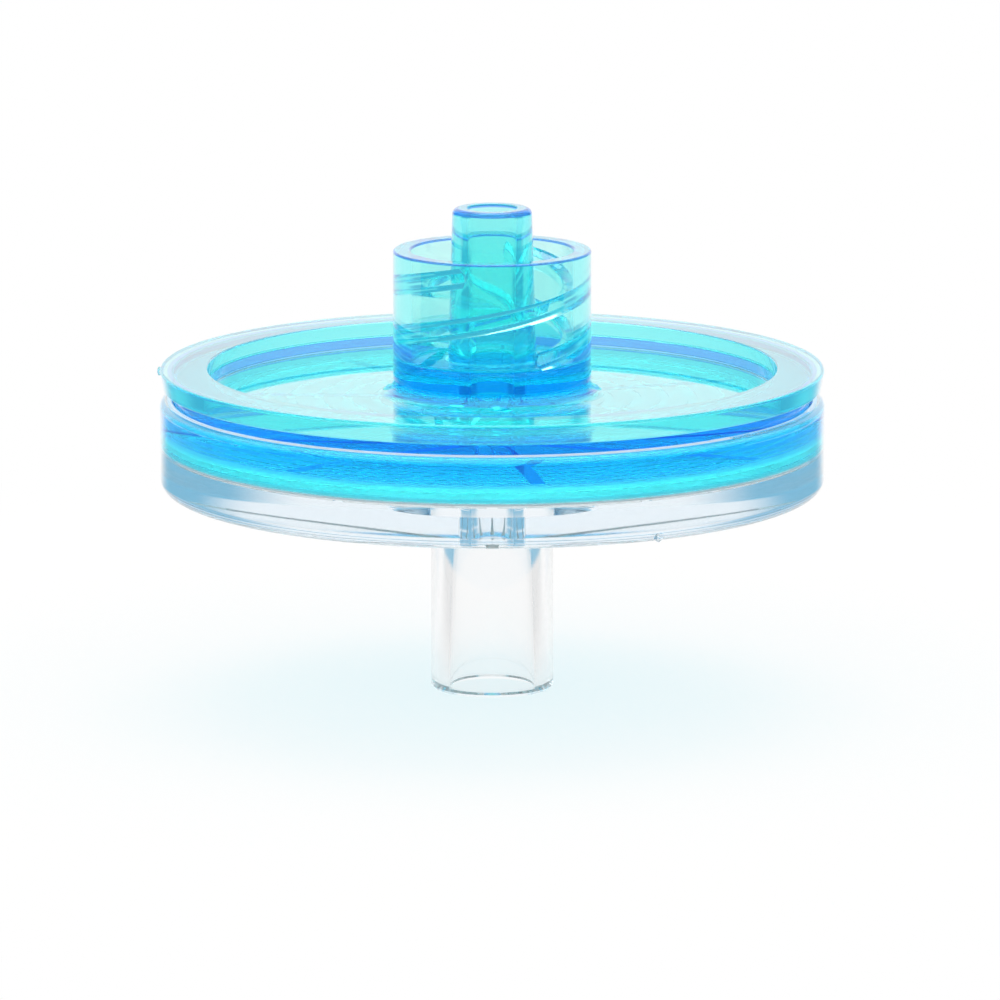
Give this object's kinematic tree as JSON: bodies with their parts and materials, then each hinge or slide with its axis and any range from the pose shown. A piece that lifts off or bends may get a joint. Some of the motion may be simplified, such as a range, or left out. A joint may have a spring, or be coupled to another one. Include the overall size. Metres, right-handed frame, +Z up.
{
  "type": "syringe filter",
  "caption": "Round disc filter for a syringe, with a female Luer inlet tube below and a male Luer lock outlet above a clamped membrane.",
  "frame": {"origin": "middle of the inlet tube's rim, which the filter stands on", "axes": "+Z up the flow axis from the inlet tube to the outlet's tip; the flange's gate nub points along -X; -Y faces the viewer"},
  "size_m": [0.0333, 0.0332, 0.0243],
  "materials": {
    "clear_plastic": "clear moulded plastic, polished, faintly cool in thick places",
    "membrane": "matt white microporous film",
    "blue_plastic": "transparent sky-blue moulded plastic, polished, deeper blue in thick places"
  },
  "bodies": {
    "root": {"inlet_housing": "clear_plastic", "membrane": "membrane", "outlet_housing": "blue_plastic"}
  },
  "joints": []
}
